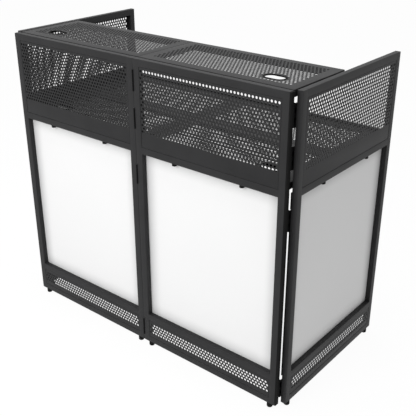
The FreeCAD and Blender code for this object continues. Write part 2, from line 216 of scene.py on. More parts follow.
# Painted shade at the scrims' edges, where the frame shades the cloth: its reach, its tone at the sides and
# top, and its tone at the bottom
SHADE_REACH, EDGE_SHADE_TONE, LOW_SHADE_TONE = 0.060, 0.74, 0.84
CAD_WELD = 0.00001
CAD_BEVEL, CAD_BEVEL_SEGMENTS = 0.0005, 2
CAD_BEVEL_ANGLE = math.radians(50)

# Studio: lamps as name, place, aim, size in metres and power in watts
LAMPS = (("key", (-0.3, -3.8, 2.4), (0, -0.3, 0.6), 2.0, 79), ("top", (-0.2, 0.0, 3.4), (0, 0, 1), 2.2, 36))
FLOOR_REACH = 30
FLOOR_TONE, FLOOR_SEEN_TONE, FLOOR_GLOW = 0.85, 0.06, 0.95
SKY_LIGHT = 0.5
CAMERA_PLACE = (1.6956, -1.9968, 1.7288)
AZIMUTH, ELEVATION = math.radians(39.29), math.radians(25.51)
SENSOR_WIDTH, LENS = 36, 62.26


def add_piece(name, verts, faces, body, slot, replaced=()):
    """A new mesh piece that rides on a body, with its faces turned outwards and smooth where they curve."""
    mesh = bpy.data.meshes.new(name)
    mesh.from_pydata([tuple(v) for v in verts], [], faces)
    work = bmesh.new()
    work.from_mesh(mesh)
    bmesh.ops.recalc_face_normals(work, faces=work.faces)
    work.to_mesh(mesh)
    work.free()
    mesh.polygons.foreach_set("use_smooth", [True] * len(mesh.polygons))
    mesh.set_sharp_from_angle(angle=SHARP_ANGLE)
    piece = bpy.data.objects.new(name, mesh)
    bpy.context.scene.collection.objects.link(piece)
    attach(piece, body)
    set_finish(piece, slot)
    if replaced:
        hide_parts(*replaced)
    return piece


# Meshes from rings, bars and turned profiles
def joined(parts):
    """One list of vertices and one of faces from several."""
    verts, faces = [], []
    for part_verts, part_faces in parts:
        start = len(verts)
        verts += part_verts
        faces += [[start + i for i in face] for face in part_faces]
    return verts, faces


def lofted(rings, closed_profile=False):
    """Faces between rings of points of equal count, the ends capped unless the last ring meets the first."""
    verts = [point for ring in rings for point in ring]
    count = len(rings[0])
    faces = []
    pairs = list(zip(range(len(rings)), range(1, len(rings))))
    if closed_profile:
        pairs.append((len(rings) - 1, 0))
    for a, b in pairs:
        for i in range(count):
            j = (i + 1) % count
            faces.append([a * count + i, a * count + j, b * count + j, b * count + i])
    if not closed_profile:
        faces.append(list(range(count)))
        faces.append(list(range((len(rings) - 1) * count, len(rings) * count)))
    return verts, faces


def rounded_bar(matrix, low, high, radii, along, bevels=(0, 0), steps=5):
    """A bar rounded along one axis, each of its four edges by its own radius, with bevelled ends if asked."""
    a, b = [axis for axis in range(3) if axis != along]

    def ring(level, inset):
        points = []
        for k, radius in enumerate(radii):
            centre_a = high[a] - radius if k in (0, 3) else low[a] + radius
            centre_b = high[b] - radius if k in (0, 1) else low[b] + radius
            for step in range(steps + 1):
                angle = (k + step / steps) * math.pi / 2
                point = [0, 0, 0]
                point[a] = centre_a + (radius - inset) * math.cos(angle)
                point[b] = centre_b + (radius - inset) * math.sin(angle)
                point[along] = level
                points.append(matrix @ Vector(point))
        return points

    rings = [ring(low[along], bevels[0])]
    if bevels[0]:
        rings.append(ring(low[along] + bevels[0], 0))
    if bevels[1]:
        rings.append(ring(high[along] - bevels[1], 0))
    rings.append(ring(high[along], bevels[1]))
    return lofted(rings)


def turned(profile, matrix, steps=32):
    """A solid of revolution about Z from (radius, height) pairs that start and end on the axis."""
    verts, faces, rings = [], [], []
    for radius, height in profile:
        if radius == 0:
            rings.append([len(verts)] * steps)
            verts.append(matrix @ Vector((0, 0, height)))
            continue
        rings.append(list(range(len(verts), len(verts) + steps)))
        for step in range(steps):
            angle = 2 * math.pi * step / steps
            verts.append(matrix @ Vector((radius * math.cos(angle), radius * math.sin(angle), height)))
    for a, b in zip(rings, rings[1:]):
        for i in range(steps):
            j = (i + 1) % steps
            faces.append(list(dict.fromkeys([a[i], a[j], b[j], b[i]])))
    return verts, faces


# Perforated sheets with bent edges
class Skin:
    """A flat perforated sheet as points, faces between them, and the outlines of its openings."""

    def __init__(self):
        self.points = []
        self.index = {}
        self.faces = []
        self.rims = []

    def at(self, u, v):
        """The number of the point at a place, new if there was none."""
        key = (round(u, MERGE_DIGITS), round(v, MERGE_DIGITS))
        if key not in self.index:
            self.index[key] = len(self.points)
            self.points.append((u, v))
        return self.index[key]


def stretch(loop, start, end):
    """The stretch of a closed loop from one of its points to another, both included."""
    first = loop.index(start)
    turned_loop = loop[first:] + loop[:first]
    return turned_loop[: turned_loop.index(end) + 1]


def stadium(centre, half_straight, radius, steps=24):
    """Points of a slot's outline, anticlockwise."""
    points = []
    for step in range(2 * steps):
        angle = (step + 0.5) * math.pi / steps - math.pi / 2
        side = half_straight if math.cos(angle) > 0 else -half_straight
        points.append((centre[0] + side + radius * math.cos(angle), centre[1] + radius * math.sin(angle)))
    return points


def border_loops(edges):
    """Closed loops of the directed edges that have no twin."""
    border = {a: b for a, b in edges if (b, a) not in edges}
    loops = []
    while border:
        loop = [next(iter(border))]
        while border[loop[-1]] != loop[0]:
            loop.append(border[loop[-1]])
        for point in loop:
            del border[point]
        loops.append(loop)
    return loops


def holed_cell(skin, u, v, left, right, hole_radius):
    """Adds one cell with a round hole to a skin, and gives the edges round the cell."""
    bottom, top = v - ROW_GAP / 2, v + ROW_GAP / 2
    cell = ((left, bottom), (u, bottom), (right, bottom), (right, top), (u, top), (left, top))
    ring = [skin.at(*point) for point in cell]
    hole = []
    for step in range(HOLE_SIDES):
        angle = FIRST_HOLE_ANGLE + step * 2 * math.pi / HOLE_SIDES
        hole.append(skin.at(u + hole_radius * math.cos(angle), v + hole_radius * math.sin(angle)))
    share = HOLE_SIDES // CELL_POINTS
    edges = []
    for k in range(CELL_POINTS):
        start, end = ring[k], ring[(k + 1) % CELL_POINTS]
        inner = [hole[(share * k + i) % HOLE_SIDES] for i in range(share + 1)]
        skin.faces.append([start, end] + inner[::-1])
        edges.append((start, end))
    skin.rims.append(hole)
    return edges


def perforated_skin(low, high, columns, rows, first_row, hole_radius, slot=None, shift=0):
    """A rectangle with staggered rows of holes, perhaps with a slot as centre, half straight and radius."""
    skin = Skin()
    middle = (low[0] + high[0]) / 2 + shift
    edges = set()
    for row in range(rows):
        count = columns - row % 2
        v = first_row + row * ROW_GAP
        for column in range(count):
            u = middle + (column - (count - 1) / 2) * PITCH
            if slot:
                centre, half_straight, radius = slot
                along = max(abs(u - centre[0]) - half_straight, 0)
                if math.hypot(along, v - centre[1]) < radius + SLOT_HOLE_CLEARANCE:
                    continue
            left = max(u - PITCH / 2, low[0] + CELL_EDGE)
            right = min(u + PITCH / 2, high[0] - CELL_EDGE)
            edges.update(holed_cell(skin, u, v, left, right, hole_radius))
    loops = border_loops(edges)
    loops.sort(key=lambda one: min(skin.points[p][0] for p in one))

    corner_places = ((low[0], low[1]), (high[0], low[1]), (high[0], high[1]), (low[0], high[1]))
    corners = [skin.at(*place) for place in corner_places]
    signs = ((1, 1), (-1, 1), (-1, -1), (1, -1))
    outer = loops[0]
    anchors = [min(outer, key=lambda p: su * skin.points[p][0] + sv * skin.points[p][1]) for su, sv in signs]
    for k in range(4):
        chain = stretch(outer, anchors[k], anchors[(k + 1) % 4])
        skin.faces.append([corners[k], corners[(k + 1) % 4]] + chain[::-1])
    if slot:
        close_round_slot(skin, loops[1], slot)
    return skin, corners


def close_round_slot(skin, loop, slot):
    """The faces between the holes round a slot and its edge: two halves, and one at each end."""
    centre = slot[0]
    rim = [skin.at(*p) for p in stadium(*slot)]
    for points in (loop, rim):
        points.sort(key=lambda p: math.atan2(skin.points[p][1] - centre[1], skin.points[p][0] - centre[0]))
    for upper in (True, False):
        outside = [p for p in loop if (skin.points[p][1] > centre[1]) == upper]
        inside = [p for p in rim if (skin.points[p][1] > centre[1]) == upper]
        skin.faces.append(outside + inside[::-1])
    for side in (1, -1):
        ends = []
        for points in (loop, rim):
            upper = [p for p in points if skin.points[p][1] > centre[1]]
            lower = [p for p in points if skin.points[p][1] <= centre[1]]
            ends.append([max(half, key=lambda p: reach_from(skin.points[p], centre, side))
                         for half in (upper, lower)])
        skin.faces.append([ends[0][0], ends[0][1], ends[1][1], ends[1][0]])
    skin.rims.append(rim)


def reach_from(point, centre, side):
    """How far a point lies out to one side of a centre, less its height from it."""
    return side * (point[0] - centre[0]) - abs(point[1] - centre[1])


def folded_tray(name, skin, corners, place, sheet, depth, bend, body, slot, replaced,
                corner_steps=5, bend_steps=5):
    """The skin as a sheet with its four edges bent down; place(u, v, d) puts a point d under the top face."""
    count = len(skin.points)
    verts = [place(u, v, 0) for u, v in skin.points] + [place(u, v, sheet) for u, v in skin.points]
    faces = [list(f) for f in skin.faces] + [[p + count for p in f[::-1]] for f in skin.faces]
    for rim in skin.rims:
        for a, b in zip(rim, rim[1:] + rim[:1]):
            faces.append([a, b, b + count, a + count])

    inner_bend = bend - sheet
    turns = [step * math.pi / 2 / bend_steps for step in range(1, bend_steps + 1)]
    profile = [(bend * math.sin(turn), bend * (1 - math.cos(turn))) for turn in turns]
    profile += [(bend, depth), (inner_bend, depth)]
    profile += [(inner_bend * math.sin(turn), bend - inner_bend * math.cos(turn)) for turn in turns[::-1]]

    loops = [[[c] for c in corners]]
    for offset, down in profile:
        loop = []
        for k, corner in enumerate(corners):
            u, v = skin.points[corner]
            arc = []
            for step in range(corner_steps + 1):
                angle = math.pi + (k + step / corner_steps) * math.pi / 2
                arc.append(len(verts))
                verts.append(place(u + offset * math.cos(angle), v + offset * math.sin(angle), down))
            loop.append(arc)
        loops.append(loop)
    loops.append([[c + count] for c in corners])
    for a, b in zip(loops, loops[1:]):
        for k in range(4):
            n = (k + 1) % 4
            faces.append([a[k][-1], a[n][0], b[n][0], b[k][-1]])
            for step in range(corner_steps):
                quad = [a[k][min(step, len(a[k]) - 1)], a[k][min(step + 1, len(a[k]) - 1)],
                        b[k][min(step + 1, len(b[k]) - 1)], b[k][min(step, len(b[k]) - 1)]]
                faces.append(list(dict.fromkeys(quad)))
    return add_piece(name, verts, faces, body, slot, replaced)


# The four panels
def panel_frame(panel):
    """The matrix from a panel's own frame (X along its width, Y into it, Z up) and the panel's width."""
    low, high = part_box(f"{panel}_rails")
    if panel.endswith("front"):
        corner, turn, length = Vector((low.x - TUBE_FACE, low.y, low.z)), 0, high.x - low.x
    elif panel == "right_wing":
        corner, turn, length = Vector((high.x, low.y - TUBE_FACE, low.z)), math.pi / 2, high.y - low.y
    else:
        corner, turn, length = Vector((low.x, high.y + TUBE_FACE, low.z)), -math.pi / 2, high.y - low.y
    return Matrix.Translation(corner) @ Matrix.Rotation(turn, 4, "Z"), length + 2 * TUBE_FACE


def panel_sheets(panel, matrix, width, top):
    """The perforated sheets at the top and at the foot of a panel."""
    base = matrix.translation.z
    columns = FRONT_COLUMNS if panel.endswith("front") else WING_COLUMNS
    mesh_first = top - MESH_TOP_ROW_DROP - (MESH_ROWS - 1) * ROW_GAP
    edge = TUBE_FACE + SHEET_FIT + PANEL_BEND

    def sheet_place(u, v, d):
        return matrix @ Vector((u, SHEET_SETBACK + d, v))

    for kind, rows, first_row in (("mesh_panel", MESH_ROWS, mesh_first),
                                  ("kick_panel", KICK_ROWS, KICK_FIRST_ROW)):
        low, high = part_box(f"{panel}_{kind}")
        skin, corners = perforated_skin((edge, low.z - base + PANEL_BEND),
                                        (width - edge, high.z - base - PANEL_BEND), columns, rows, first_row,
                                        PANEL_HOLE, None, PATTERN_SHIFTS.get(panel, 0))
        folded_tray(f"{panel}_{kind}_perforated", skin, corners, sheet_place, SHEET, SHEET_RETURN,
                    PANEL_BEND, panel, "sheet_steel", (f"{panel}_{kind}",))


def rail_bars(matrix, width, top):
    """The four cross tubes of a panel."""
    bars = []
    for z in (0, KICK_HEIGHT - TUBE_FACE, top - WINDOW_TOP_DROP, top - TUBE_FACE):
        low = (TUBE_FACE - RAIL_INSET, 0, z)
        high = (width - TUBE_FACE + RAIL_INSET, TUBE_DEPTH, z + TUBE_FACE)
        bars.append(rounded_bar(matrix, low, high, [TUBE_RADIUS] * 4, 0))
    return joined(bars)


def stile_bars(matrix, width, top, joint_side):
    """The two uprights of a panel; on the joint side a bar closes the middle joint between the hinges."""
    bars = []
    for side, x in ((-1, 0), (1, width - TUBE_FACE)):
        if side != joint_side:
            bars.append(rounded_bar(matrix, (x, 0, 0), (x + TUBE_FACE, TUBE_DEPTH, top), [TUBE_RADIUS] * 4, 2,
                                    (END_BEVEL, END_BEVEL)))
            continue
        radii = [JOINT_RADIUS if (k in (0, 3)) == (side > 0) else TUBE_RADIUS for k in range(4)]
        levels = [0]
        for drop in sorted(HINGE_DROPS, reverse=True):
            levels += [top - drop - HINGE_NOTCH / 2, top - drop + HINGE_NOTCH / 2]
        levels.append(top)
        for index, (start, end) in enumerate(zip(levels, levels[1:])):
            bar = 0 if index % 2 else EDGE_BAR
            low_x = x - bar if side < 0 else x
            high_x = x + TUBE_FACE + (bar if side > 0 else 0)
            bevels = (JOINT_RADIUS / 2 if start == 0 else 0, JOINT_RADIUS / 2 if end == top else 0)
            bars.append(rounded_bar(matrix, (low_x, 0, start), (high_x, TUBE_DEPTH, end), radii, 2, bevels))
    return joined(bars)


def edge_strip(matrix, width, top, corner_side):
    """A black strip on the corner side of a front panel: painted shade that stands in for the shadow on the
    stile's side face.
    """
    corner_x = 0 if corner_side < 0 else width
    low_x, high_x = sorted((corner_x, corner_x + corner_side * EDGE_STRIP))
    low = (low_x, EDGE_STRIP_MARGIN, EDGE_STRIP_MARGIN)
    high = (high_x, TUBE_DEPTH - EDGE_STRIP_MARGIN, top - EDGE_STRIP_MARGIN)
    return rounded_bar(matrix, low, high, [EDGE_STRIP_RADIUS] * 4, 2)


def feet_and_pegs(panel, matrix, width, top):
    """The rubber feet of a panel and the pegs above its window."""
    feet, pegs = [], []
    for x in (FOOT_INSET, width - FOOT_INSET):
        feet.append(turned(FOOT_PROFILE, matrix @ Matrix.Translation((x, FOOT_DEPTH, -matrix.translation.z))))
    for side in (-1, 1):
        place = (width / 2 + side * PEG_SPACING / 2, TUBE_DEPTH / 2, top - WINDOW_TOP_DROP)
        pegs.append(turned(PEG_PROFILE, matrix @ Matrix.Translation(place)))
    add_piece(f"{panel}_rubber_feet", *joined(feet), panel, "foot_rubber", (f"{panel}_feet",))
    add_piece(f"{panel}_rubber_pegs", *joined(pegs), panel, "foot_rubber", (f"{panel}_scrim_pegs",))


def scrim_cloth(matrix, width, low_z, high_z, rows=60, columns=52):
    """Points and faces of the taut cloth, two skins joined round their edge."""
    verts, faces = [], []
    for depth in (SCRIM_FRONT, SCRIM_FRONT + SCRIM_CLOTH):
        for r in range(rows + 1):
            for c in range(columns + 1):
                u, v = c / columns, r / rows
                sag = SCRIM_CLOTH * math.sin(math.pi * u) * math.sin(math.pi * v)
                x = SCRIM_SIDE + u * (width - 2 * SCRIM_SIDE)
                verts.append(matrix @ Vector((x, depth + sag, low_z + v * (high_z - low_z))))
    step = columns + 1
    n = (rows + 1) * step
    for r in range(rows):
        for c in range(columns):
            i = r * step + c
            faces.append([i, i + 1, i + step + 1, i + step])
            faces.append([n + i, n + i + step, n + i + step + 1, n + i + 1])
    rim = [c for c in range(columns)] + [r * step + columns for r in range(rows)]
    rim += [rows * step + c for c in range(columns, 0, -1)] + [r * step for r in range(rows, 0, -1)]
    for a, b in zip(rim, rim[1:] + rim[:1]):
        faces.append([a, b, n + b, n + a])
    return verts, faces


def inset_corners(width, low_z, high_z, inset, depth):
    """The corners of a scrim, moved in by an inset, at a depth."""
    low_x, high_x = SCRIM_SIDE + inset, width - SCRIM_SIDE - inset
    low_z, high_z = low_z + inset, high_z - inset
    places = ((low_x, low_z), (high_x, low_z), (high_x, high_z), (low_x, high_z))
    return [Vector((x, depth, z)) for x, z in places]


def scrim_hem(matrix, width, low_z, high_z):
    """A doubled border on the back of the cloth, as a frame with rounded edges."""
    front = SCRIM_FRONT + SCRIM_CLOTH
    thick = HEM_BACK - front
    profile = ((0, front), (0, front + thick * HEM_EDGE_SHARE), (thick * HEM_ROUND_SHARE, HEM_BACK),
               (HEM_WIDTH - thick, HEM_BACK), (HEM_WIDTH, front + thick * HEM_INNER_SHARE),
               (HEM_WIDTH, front))
    rings = []
    for inset, depth in profile:
        rings.append([matrix @ corner for corner in inset_corners(width, low_z, high_z, inset, depth)])
    return lofted(rings, closed_profile=True)


def hem_stitches(matrix, width, low_z, high_z):
    """One row of stitches along the inner edge of the hem."""
    corners = inset_corners(width, low_z, high_z, HEM_WIDTH - STITCH_INSET, 0)
    stitches = []
    for a, b in zip(corners, corners[1:] + corners[:1]):
        along = (b - a).normalized()
        across = Vector((-along.z, 0, along.x))
        for step in range(int((b - a).length / STITCH_PITCH)):
            centre = a + along * (step + 0.5) * STITCH_PITCH
            rings = []
            for share, size in STITCH_SECTION_SHARES:
                middle = centre + along * share * STITCH_LENGTH / 2
                half, lift = STITCH_HALF * size, STITCH_LIFT * size
                crown = half * STITCH_CROWN_SHARE
                section = ((-half, 0), (-crown, lift), (crown, lift), (half, 0))
                rings.append([matrix @ (middle + across * s + Vector((0, HEM_BACK - STITCH_SINK + d, 0)))
                              for s, d in section])
            stitches.append(lofted(rings))
    return joined(stitches)


def tape_strips(matrix, width, top, corner_side, overhang):
    """The hook-and-loop band round a scrim, open at the hinge on the corner side and overhanging there."""
    low_z, high_z = KICK_HEIGHT - TAPE_REACH, top - WINDOW_TOP_DROP + TAPE_REACH
    radii = [TAPE_RADIUS] * 4
    strips = []
    for side in (-1, 1):
        outer = TAPE_EDGE - (overhang if side == corner_side else 0)
        low_x, high_x = (outer, TAPE_INNER) if side < 0 else (width - TAPE_INNER, width - outer)
        levels = [low_z, high_z]
        if side == corner_side:
            hinge = top - WINDOW_HINGE_DROP
            levels[1:1] = [hinge - TAPE_NOTCH / 2, hinge + TAPE_NOTCH / 2]
        for start, end in zip(levels[::2], levels[1::2]):
            strips.append(rounded_bar(matrix, (low_x, TAPE_FRONT, start), (high_x, TAPE_BACK, end), radii, 2,
                                      (TAPE_RADIUS / 2, TAPE_RADIUS / 2)))
    for start, end in ((low_z, KICK_HEIGHT - TAPE_EDGE), (top - WINDOW_TOP_DROP + TAPE_EDGE, high_z)):
        low, high = (TAPE_INNER, TAPE_FRONT, start), (width - TAPE_INNER, TAPE_BACK, end)
        strips.append(rounded_bar(matrix, low, high, radii, 0))
    return joined(strips)


def stretched_scrim(panel, matrix, width, low_z, high_z):
    """The cloth of a panel's window, stretched over the back of its frame."""
    cloth = add_piece(f"{panel}_scrim_cloth", *scrim_cloth(matrix, width, low_z, high_z), panel,
                      "scrim_fabric", (f"{panel}_scrim",))


for panel, joint_side, corner_side in (("left_front", 1, -1), ("right_front", -1, 1),
                                       ("left_wing", 0, 1), ("right_wing", 0, -1)):
    matrix, width = panel_frame(panel)
    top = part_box(f"{panel}_stiles")[1].z - matrix.translation.z
    panel_sheets(panel, matrix, width, top)
    add_piece(f"{panel}_rail_tubes", *rail_bars(matrix, width, top), panel, "frame_steel",
              (f"{panel}_rails",))
    add_piece(f"{panel}_stile_tubes", *stile_bars(matrix, width, top, joint_side), panel, "frame_steel",
              (f"{panel}_stiles",))
    feet_and_pegs(panel, matrix, width, top)
    low_z, high_z = (corner.z - matrix.translation.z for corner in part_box(f"{panel}_scrim"))
    stretched_scrim(panel, matrix, width, low_z, high_z)
    overhang = TAPE_OVERHANG if joint_side else 0
    if joint_side:
        # Painted shade: a black strip where the corner gap shades the stile's side
        add_piece(f"{panel}_edge_shade_strip", *edge_strip(matrix, width, top, corner_side), panel,
                  "foot_rubber", (f"{panel}_edge_strip",))
    add_piece(f"{panel}_scrim_band", *tape_strips(matrix, width, top, corner_side, overhang), panel,
              "tape_fabric", (f"{panel}_scrim_tape",))
    add_piece(f"{panel}_scrim_hem", *scrim_hem(matrix, width, low_z, high_z), panel, "scrim_fabric")
    add_piece(f"{panel}_scrim_stitches", *hem_stitches(matrix, width, low_z, high_z), panel, "scrim_fabric")


# Trays and cable slots of the shelf and the table
def slot_centres(node):
    """The centres of the two cable slots that a node's rims stand in."""
    low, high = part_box(node)
    half = RIM_HALF_STRAIGHT + RIM_RADIUS
    return [(x, (low.y + high.y) / 2) for x in (low.x + half, high.x - half)]


def slot_rims(node, body):
    """Rims of two cable slots: a rounded lip on the sheet and a short collar under it."""
    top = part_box(node)[1].z
    rims = []
    for centre in slot_centres(node):
        rings = []
        for offset, height in RIM_PROFILE:
            outline = stadium(centre, RIM_HALF_STRAIGHT, RIM_RADIUS + offset)
            rings.append([Vector((u, v, top + height)) for u, v in outline])
        rims.append(lofted(rings, closed_profile=True))
    add_piece(f"{node}_moulded", *joined(rims), body, "rim_plastic", (node,))


def tray_skirts(low, high):
    """The deeper flanges of a shelf tray, at its back and at the joint between the trays."""
    bottom = high.z - TRAY_FLANGE
    joint_x = low.x if low.x > 0 else high.x - SHEET
    radii = [SKIRT_RADIUS] * 4
    back = rounded_bar(Matrix(), (low.x, high.y - SHEET, low.z), (high.x, high.y, bottom), radii, 0)
    joint = rounded_bar(Matrix(), (joint_x, low.y, low.z), (joint_x + SHEET, high.y, bottom), radii, 1)
    return joined([back, joint])


def dress_trays(body, columns, rows, first_row):
    """The perforated trays of the shelf or the table, and the rims of their slots."""
    rims = f"{body}_slot_rims"
    for node in sorted(name for name in frame["nodes"] if name.startswith(body) and name.endswith("_tray")):
        low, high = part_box(node)
        slot = None
        for centre in slot_centres(rims):
            if low.x < centre[0] < high.x and low.y < centre[1] < high.y:
                slot = (centre, RIM_HALF_STRAIGHT, RIM_RADIUS + SHEET_FIT)
        skin, corners = perforated_skin((low.x + TRAY_BEND, low.y + TRAY_BEND),
                                        (high.x - TRAY_BEND, high.y - TRAY_BEND), columns, rows,
                                        low.y + first_row, TRAY_HOLE, slot)

        def tray_place(u, v, d, top=high.z):
            return Vector((u, v, top - d))

        folded_tray(f"{node}_perforated", skin, corners, tray_place, TRAY_SHEET, TRAY_FLANGE, TRAY_BEND, body,
                    "sheet_steel", (node,))
        if body == "shelf":
            add_piece(f"{node}_skirts", *tray_skirts(low, high), body, "sheet_steel")
    slot_rims(rims, body)


def table_tubes(low, high):
    """The two tubes along the back edge of the table."""
    tubes = []
    for side in (-1, 1):
        start, end = sorted((side * TRAY_JOINT, side * high.x))
        tubes.append(rounded_bar(Matrix(), (start, low.y, low.z), (end, high.y, high.z), [TUBE_RADIUS] * 4, 0,
                                 (END_BEVEL, END_BEVEL)))
    return joined(tubes)


dress_trays("shelf", SHELF_COLUMNS, SHELF_ROWS, SHELF_FIRST_ROW)
dress_trays("table", TABLE_COLUMNS, TABLE_ROWS, TABLE_FIRST_ROW)
add_piece("table_bars_tubes", *table_tubes(*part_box("table_bars")), "table", "frame_steel", ("table_bars",))


# Hinges
def leaf_frame(x, y, along, mount):
    """The matrix of a leaf whose plate runs one way from the axis and lies against the mount side."""
    along, mount = Vector(along), Vector(mount)
    rotation = Matrix((along, mount, (0, 0, 1))).transposed().to_4x4()
    return Matrix.Translation((x, y, 0)) @ rotation


def knuckle(matrix, face, low, high, steps=20):
    """One curl of a leaf round the pin, with the start of its plate, which may lie clear of the barrel."""
    outline = []
    for step in range(steps + 1):
        angle = math.pi + step * math.pi / steps
        outline.append((BARREL_RADIUS * math.cos(angle), BARREL_RADIUS * math.sin(angle)))
    outline += [(BARREL_RADIUS, max(face - LEAF, WEB_START)), (LEAF_CURL, face - LEAF), (LEAF_CURL, face)]
    clear = face - LEAF >= BARREL_RADIUS
    start, rise = (0, BARREL_RADIUS) if clear else (CURL_SHIFT, face)
    if clear:
        outline += [(CORNER_LEAF_START, face), (CORNER_LEAF_START, BARREL_RADIUS)]
    for step in range(steps // 2):
        angle = math.pi / 2 + step * math.pi / steps
        outline.append((start + (BARREL_RADIUS + start) * math.cos(angle), rise * math.sin(angle)))
    rings = []
    for level, share in ((low, KNUCKLE_END_SHARE), (low + KNUCKLE_BEVEL, 1), (high - KNUCKLE_BEVEL, 1),
                         (high, KNUCKLE_END_SHARE)):
        ring = []
        for u, v in outline:
            inset = KNUCKLE_MIDDLE + (Vector((u, v, 0)) - KNUCKLE_MIDDLE) * share
            ring.append(matrix @ (inset + Vector((0, 0, level))))
        rings.append(ring)
    return lofted(rings)


def leaf_plate(matrix, face, leaf_start, height, steps=6):
    """The flat of a leaf, its outer corners rounded and its edges eased."""
    half = HINGE_LENGTH / 2
    corner_u = LEAF_REACH - LEAF_CORNER
    outline = [(leaf_start, -half), (corner_u, -half)]
    for k, centre_z in ((-1, LEAF_CORNER - half), (0, half - LEAF_CORNER)):
        for step in range(1, steps + 1):
            angle = (k + step / steps) * math.pi / 2
            outline.append((corner_u + LEAF_CORNER * math.cos(angle),
                            centre_z + LEAF_CORNER * math.sin(angle)))
    outline.append((leaf_start, half))
    middle = (leaf_start + LEAF_REACH) / 2
    rings = []
    for depth, inset in ((face, 0), (face - LEAF + LEAF_BEVEL, 0), (face - LEAF, LEAF_BEVEL)):
        ring = []
        for u, z in outline:
            u -= math.copysign(inset, u - middle)
            z -= math.copysign(inset, z)
            ring.append(matrix @ Vector((u, depth, z + height)))
        rings.append(ring)
    return lofted(rings)


def screw_head(matrix, face, height):
    """A low domed head with a hexagon socket, on the side of the plate that shows."""
    angles = [2 * math.pi * (step + 0.5) / SCREW_SIDES for step in range(SCREW_SIDES)]
    rings = []
    for radius_share, rise_share in SCREW_DOME_SHARES:
        radius, out = SCREW_HEAD * radius_share, SCREW_PROUD * rise_share
        rings.append([(radius * math.cos(t), radius * math.sin(t), out) for t in angles])
    for out in (SCREW_PROUD, SCREW_PROUD * SCREW_FLOOR_SHARE):
        ring = []
        for t in angles:
            flat = SCREW_SOCKET / math.cos((t + math.pi / 6) % (math.pi / 3) - math.pi / 6)
            ring.append((flat * math.cos(t), flat * math.sin(t), out))
        rings.append(ring)
    return lofted([[matrix @ Vector((SCREW_PLACE + u, face - LEAF - out, height + z)) for u, z, out in ring]
                   for ring in rings])


def hinge_leaves(node, body, matrix, face, leaf_start, first, screws):
    """The leaves of one line of hinges on one body; every second knuckle, from the first on, is theirs."""
    length = HINGE_LENGTH / KNUCKLES
    parts, heads = [], []
    for drop in HINGE_DROPS:
        height = PANEL_TOP - drop
        parts.append(leaf_plate(matrix, face, leaf_start, height))
        for index in range(first, KNUCKLES, 2):
            low = height - HINGE_LENGTH / 2 + index * length
            parts.append(knuckle(matrix, face, low + KNUCKLE_GAP / 2, low + length - KNUCKLE_GAP / 2))
        if screws:
            heads += [screw_head(matrix, face, height + z) for z in SCREW_HEIGHTS]
    add_piece(f"{node}_curled", *joined(parts), body, "hinge_steel", (node,))
    if heads:
        add_piece(f"{node}_screws", *joined(heads), body, "hinge_steel")


def hinge_pins(node, body, x, y):
    """The pins of one line of hinges, with domed ends."""
    half = HINGE_LENGTH / 2
    profile = [(radius, -half - proud) for radius, proud in PIN_HEAD]
    profile += [(PIN_RADIUS, -half), (PIN_RADIUS, half)]
    profile += [(radius, half + proud) for radius, proud in reversed(PIN_HEAD)]
    pins = []
    for drop in HINGE_DROPS:
        pins.append(turned(profile, Matrix.Translation((x, y, PANEL_TOP - drop)), PIN_SIDES))
    add_piece(f"{node}_domed", *joined(pins), body, "pin_steel", (node,))


PANEL_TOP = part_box("left_front_stiles")[1].z
FRONT_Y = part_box("left_front_rails")[0].y
CORNER_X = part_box("right_front_stiles")[1].x
centre_y, corner_y = FRONT_Y + CENTRE_AXIS_Y, FRONT_Y + CORNER_AXIS_Y
for name, side, first in (("left", -1, 0), ("right", 1, 1)):
    leaf = leaf_frame(0, centre_y, (0, 1, 0), (side, 0, 0))
    hinge_leaves(f"centre_hinge_{name}_leaves", f"{name}_front", leaf, CENTRE_FACE, CENTRE_LEAF_START,
                 first, False)
hinge_pins("centre_hinge_pins", "left_front", 0, centre_y)
for name, side in (("left", -1), ("right", 1)):
    x = side * CORNER_X
    leaf = leaf_frame(x, corner_y, (-side, 0, 0), (0, -1, 0))
    hinge_leaves(f"{name}_hinge_front_leaves", f"{name}_front", leaf, CORNER_FACE, CORNER_LEAF_START,
                 0, True)
    leaf = leaf_frame(x, corner_y, (0, 1, 0), (side, 0, 0))
    hinge_leaves(f"{name}_hinge_wing_leaves", f"{name}_wing", leaf, CORNER_FACE, CORNER_LEAF_START,
                 1, True)
    hinge_pins(f"{name}_hinge_pins", f"{name}_front", x, corner_y)


# Finishes
def grey(tone):
    """A grey as a colour for a node."""
    return tone, tone, tone, 1


